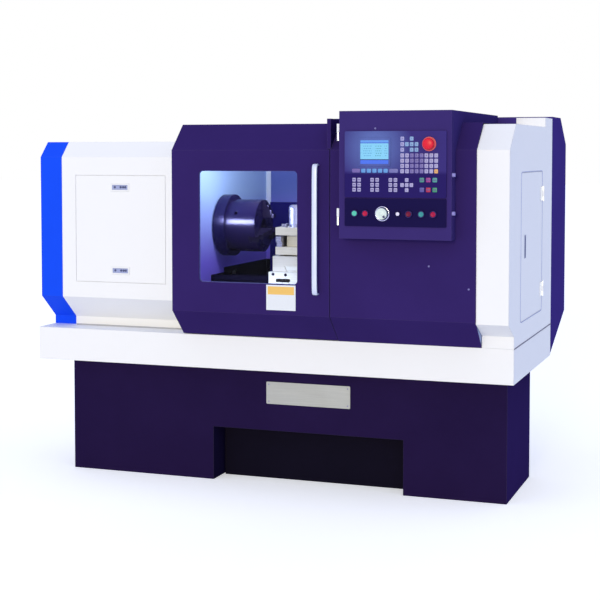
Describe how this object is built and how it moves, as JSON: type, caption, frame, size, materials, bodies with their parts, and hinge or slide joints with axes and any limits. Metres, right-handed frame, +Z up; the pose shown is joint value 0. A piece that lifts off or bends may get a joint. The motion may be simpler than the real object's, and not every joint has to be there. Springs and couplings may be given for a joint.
{
  "type": "cnc turning lathe",
  "caption": "Flat-bed turning lathe with a full guard, sliding window door, swinging control box, chuck, saddle, tool post, tailstock and rear cabinet.",
  "frame": {"origin": "centre of the whole machine's box, on the floor", "axes": "+X runs along the machine from headstock to tailstock, -Y faces the operator, +Z is up"},
  "size_m": [2.25, 1.58, 1.661],
  "materials": {
    "white_paint": "satin",
    "purple_paint": "satin",
    "stand_paint": "satin",
    "blue_paint": "satin",
    "inner_paint": "satin",
    "cast_iron": "cast",
    "ground_steel": "ground",
    "dark_steel": "blued",
    "chuck_steel": "polished",
    "plate_metal": "brushed",
    "handle_metal": "anodised",
    "glass": "clear",
    "rubber": "matte",
    "label_film": "gloss",
    "black_plastic": "matte",
    "panel_plastic": "matte",
    "screen_face": "gloss",
    "key_plastic": "matte",
    "yellow_plastic": "matte",
    "red_plastic": "gloss",
    "green_plastic": "gloss",
    "teal_plastic": "gloss",
    "dark_red_plastic": "gloss",
    "wheel_plastic": "matte",
    "motor_paint": "satin"
  },
  "bodies": {
    "frame": {"base_stand": "stand_paint", "coolant_tank": "motor_paint", "machine_plate": "plate_metal", "chip_tray": "white_paint", "headstock_cover": "white_paint", "end_cover": "blue_paint", "work_space_walls": "inner_paint", "rear_splash": "purple_paint", "door_rails": "ground_steel", "front_cover": "purple_paint", "end_guard": "white_paint", "cabinet": "purple_paint", "control_box": "purple_paint", "fixed_hinges": "white_paint", "electrics": "plate_metal", "bed": "cast_iron", "headstock": "cast_iron", "drive_motors": "motor_paint", "drive_belt": "rubber"},
    "sliding_door": {"door_panel": "purple_paint", "door_glass": "glass", "window_gasket": "rubber", "door_handle": "handle_metal", "door_label": "label_film"},
    "access_door": {"access_panel": "white_paint"},
    "lower_paddle": {"lower_latch": "white_paint"},
    "upper_paddle": {"upper_latch": "white_paint"},
    "side_access": {"side_door": "white_paint", "side_door_pull": "black_plastic"},
    "cabinet_access": {"cabinet_door": "purple_paint"},
    "cabinet_lever": {"cabinet_latch": "black_plastic"},
    "control_door": {"box_door": "purple_paint", "keypad_unit": "panel_plastic", "screen": "screen_face", "keypad_keys": "key_plastic", "button_panel": "black_plastic", "estop_ring": "yellow_plastic"},
    "estop": {"estop_button": "red_plastic"},
    "pulse_dial": {"pulse_wheel": "wheel_plastic"},
    "start_cap": {"start_button": "green_plastic"},
    "stop_cap": {"stop_button": "red_plastic"},
    "hold_cap": {"hold_button": "dark_red_plastic"},
    "coolant_cap": {"coolant_button": "teal_plastic"},
    "reset_cap": {"reset_button": "red_plastic"},
    "spindle_group": {"spindle": "chuck_steel", "chuck_body": "chuck_steel"},
    "motor_drive": {"motor_pulley": "dark_steel"},
    "jaw_1": {"chuck_jaw_1": "dark_steel"},
    "jaw_2": {"chuck_jaw_2": "dark_steel"},
    "jaw_3": {"chuck_jaw_3": "dark_steel"},
    "carriage": {"saddle": "ground_steel"},
    "long_screw": {"ball_screw": "ground_steel"},
    "slide_rest": {"cross_slide": "ground_steel"},
    "short_screw": {"cross_screw": "ground_steel"},
    "turret": {"tool_post": "ground_steel", "turning_tools": "dark_steel", "turret_cap": "black_plastic"},
    "tail": {"tailstock": "cast_iron"},
    "quill_group": {"quill": "ground_steel"},
    "centre": {"live_centre": "chuck_steel"}
  },
  "joints": [
    {"name": "door_slide", "type": "slide", "parent": "frame", "child": "sliding_door", "axis": [-1, 0, 0], "range_m": [0, 0.64]},
    {"name": "access_panel_pull", "type": "slide", "parent": "frame", "child": "access_door", "axis": [0, -1, 0], "range_m": [0, 0.08]},
    {"name": "lower_latch_lift", "type": "hinge", "parent": "access_door", "child": "lower_paddle", "pos_m": [-0.712, -0.5415, 0.9562], "axis": [-1, 0, 0], "range_deg": [0, 60]},
    {"name": "upper_latch_lift", "type": "hinge", "parent": "access_door", "child": "upper_paddle", "pos_m": [-0.712, -0.5415, 1.3392], "axis": [-1, 0, 0], "range_deg": [0, 60]},
    {"name": "side_door_swing", "type": "hinge", "parent": "frame", "child": "side_access", "pos_m": [1.12, 0.08675, 1.088], "axis": [0, 0, 1], "range_deg": [0, 110]},
    {"name": "cabinet_door_swing", "type": "hinge", "parent": "frame", "child": "cabinet_access", "pos_m": [0.043, 0.778, 1.12], "axis": [0, 0, 1], "range_deg": [0, 115]},
    {"name": "cabinet_latch_turn", "type": "hinge", "parent": "cabinet_access", "child": "cabinet_lever", "pos_m": [1.025, 0.779, 1.12], "axis": [0, 1, 0], "range_deg": [0, 90]},
    {"name": "control_door_swing", "type": "hinge", "parent": "frame", "child": "control_door", "pos_m": [0.407, -0.741, 1.396], "axis": [0, 0, -1], "range_deg": [0, 105]},
    {"name": "estop_press", "type": "slide", "parent": "control_door", "child": "estop", "axis": [0, 1, 0], "range_m": [0, 0.005]},
    {"name": "pulse_wheel_turn", "type": "hinge", "parent": "control_door", "child": "pulse_dial", "pos_m": [0.604, -0.771, 1.2379], "axis": [0, 1, 0], "continuous": true},
    {"name": "start_press", "type": "slide", "parent": "control_door", "child": "start_cap", "axis": [0, 1, 0], "range_m": [0, 0.003], "stiffness_N_per_m": 300},
    {"name": "stop_press", "type": "slide", "parent": "control_door", "child": "stop_cap", "axis": [0, 1, 0], "range_m": [0, 0.003], "stiffness_N_per_m": 300},
    {"name": "hold_press", "type": "slide", "parent": "control_door", "child": "hold_cap", "axis": [0, 1, 0], "range_m": [0, 0.003], "stiffness_N_per_m": 300},
    {"name": "coolant_press", "type": "slide", "parent": "control_door", "child": "coolant_cap", "axis": [0, 1, 0], "range_m": [0, 0.003], "stiffness_N_per_m": 300},
    {"name": "reset_press", "type": "slide", "parent": "control_door", "child": "reset_cap", "axis": [0, 1, 0], "range_m": [0, 0.003], "stiffness_N_per_m": 300},
    {"name": "spindle_turn", "type": "hinge", "parent": "frame", "child": "spindle_group", "pos_m": [-0.325, -0.216, 1.149], "axis": [1, 0, 0], "continuous": true},
    {"name": "motor_turn", "type": "hinge", "parent": "frame", "child": "motor_drive", "pos_m": [-0.969, 0.056, 0.846], "axis": [1, 0, 0], "continuous": true},
    {"name": "jaw_1_slide", "type": "slide", "parent": "spindle_group", "child": "jaw_1", "axis": [0, 0, 1], "range_m": [-0.01, 0.01]},
    {"name": "jaw_2_slide", "type": "slide", "parent": "spindle_group", "child": "jaw_2", "axis": [0, 0.866, -0.5], "range_m": [-0.01, 0.01]},
    {"name": "jaw_3_slide", "type": "slide", "parent": "spindle_group", "child": "jaw_3", "axis": [0, -0.866, -0.5], "range_m": [-0.01, 0.01]},
    {"name": "saddle_travel", "type": "slide", "parent": "frame", "child": "carriage", "axis": [1, 0, 0], "range_m": [-0.01, 0.1]},
    {"name": "ball_screw_turn", "type": "hinge", "parent": "frame", "child": "long_screw", "pos_m": [0.275, -0.416, 0.85], "axis": [1, 0, 0], "continuous": true},
    {"name": "cross_travel", "type": "slide", "parent": "carriage", "child": "slide_rest", "axis": [0, 1, 0], "range_m": [-0.03, 0.09]},
    {"name": "cross_screw_turn", "type": "hinge", "parent": "carriage", "child": "short_screw", "pos_m": [0.133, -0.266, 0.9683], "axis": [0, 1, 0], "continuous": true},
    {"name": "tool_post_index", "type": "hinge", "parent": "slide_rest", "child": "turret", "pos_m": [0.115, -0.366, 1.1], "axis": [0, 0, 1], "continuous": true},
    {"name": "tailstock_travel", "type": "slide", "parent": "frame", "child": "tail", "axis": [1, 0, 0], "range_m": [-0.06, 0.02]},
    {"name": "quill_travel", "type": "slide", "parent": "tail", "child": "quill_group", "axis": [-1, 0, 0], "range_m": [0, 0.08]},
    {"name": "live_centre_turn", "type": "hinge", "parent": "quill_group", "child": "centre", "pos_m": [0.595, -0.216, 1.149], "axis": [1, 0, 0], "continuous": true}
  ],
  "couplings": [
    {"joint": "motor_turn", "follows": "spindle_turn", "ratio": 1.6935},
    {"joint": "jaw_2_slide", "follows": "jaw_1_slide", "ratio": 1},
    {"joint": "jaw_3_slide", "follows": "jaw_1_slide", "ratio": 1},
    {"joint": "ball_screw_turn", "follows": "saddle_travel", "rad_per_m": 628.32},
    {"joint": "cross_screw_turn", "follows": "cross_travel", "rad_per_m": 1256.6}
  ]
}
